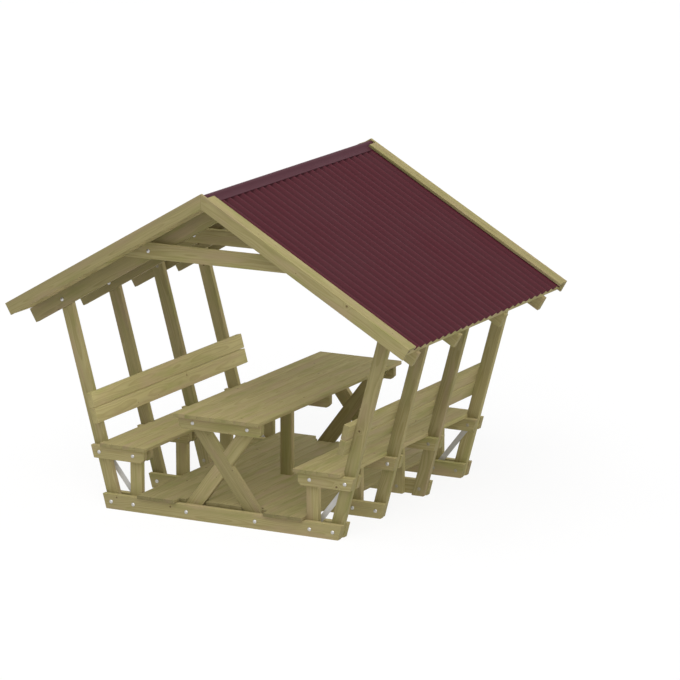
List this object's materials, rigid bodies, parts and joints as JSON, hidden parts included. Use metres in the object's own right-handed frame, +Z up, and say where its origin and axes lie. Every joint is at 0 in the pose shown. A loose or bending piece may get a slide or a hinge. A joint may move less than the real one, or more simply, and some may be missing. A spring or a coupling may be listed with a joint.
{
  "type": "picnic shelter",
  "caption": "Open timber picnic shelter with a corrugated gable roof, leaning posts, a deck, side benches and a fixed table.",
  "frame": {"origin": "centre of the footprint at ground level", "axes": "+X across the gable, +Y along the ridge towards the rear gable, +Z up"},
  "size_m": [3.2562, 2.6, 2.44],
  "materials": {
    "treated_pine": "sawn, green-brown",
    "roof_sheet": "matt maroon",
    "zinc_steel": "zinc plated"
  },
  "bodies": {
    "root": {"front_left_post": "treated_pine", "front_right_post": "treated_pine", "second_left_post": "treated_pine", "second_right_post": "treated_pine", "third_left_post": "treated_pine", "third_right_post": "treated_pine", "rear_left_post": "treated_pine", "rear_right_post": "treated_pine", "left_rafters": "treated_pine", "right_rafters": "treated_pine", "collar_ties": "treated_pine", "front_outer_sill": "treated_pine", "front_inner_sill": "treated_pine", "second_sill": "treated_pine", "third_sill": "treated_pine", "rear_inner_sill": "treated_pine", "rear_outer_sill": "treated_pine", "left_bench_legs": "treated_pine", "right_bench_legs": "treated_pine", "left_bench_bearers": "treated_pine", "right_bench_bearers": "treated_pine", "left_seat": "treated_pine", "right_seat": "treated_pine", "left_backrest": "treated_pine", "right_backrest": "treated_pine", "deck": "treated_pine", "table_top": "treated_pine", "table_bearers": "treated_pine", "middle_table_leg": "treated_pine", "front_cross_leg_a": "treated_pine", "front_cross_leg_b": "treated_pine", "rear_cross_leg_a": "treated_pine", "rear_cross_leg_b": "treated_pine", "left_purlins": "treated_pine", "right_purlins": "treated_pine", "left_roof_sheet": "roof_sheet", "right_roof_sheet": "roof_sheet", "ridge_cap": "roof_sheet", "front_left_bargeboard": "treated_pine", "front_right_bargeboard": "treated_pine", "rear_left_bargeboard": "treated_pine", "rear_right_bargeboard": "treated_pine", "front_cover_boards": "treated_pine", "rear_cover_boards": "treated_pine", "straps": "zinc_steel"}
  },
  "joints": []
}
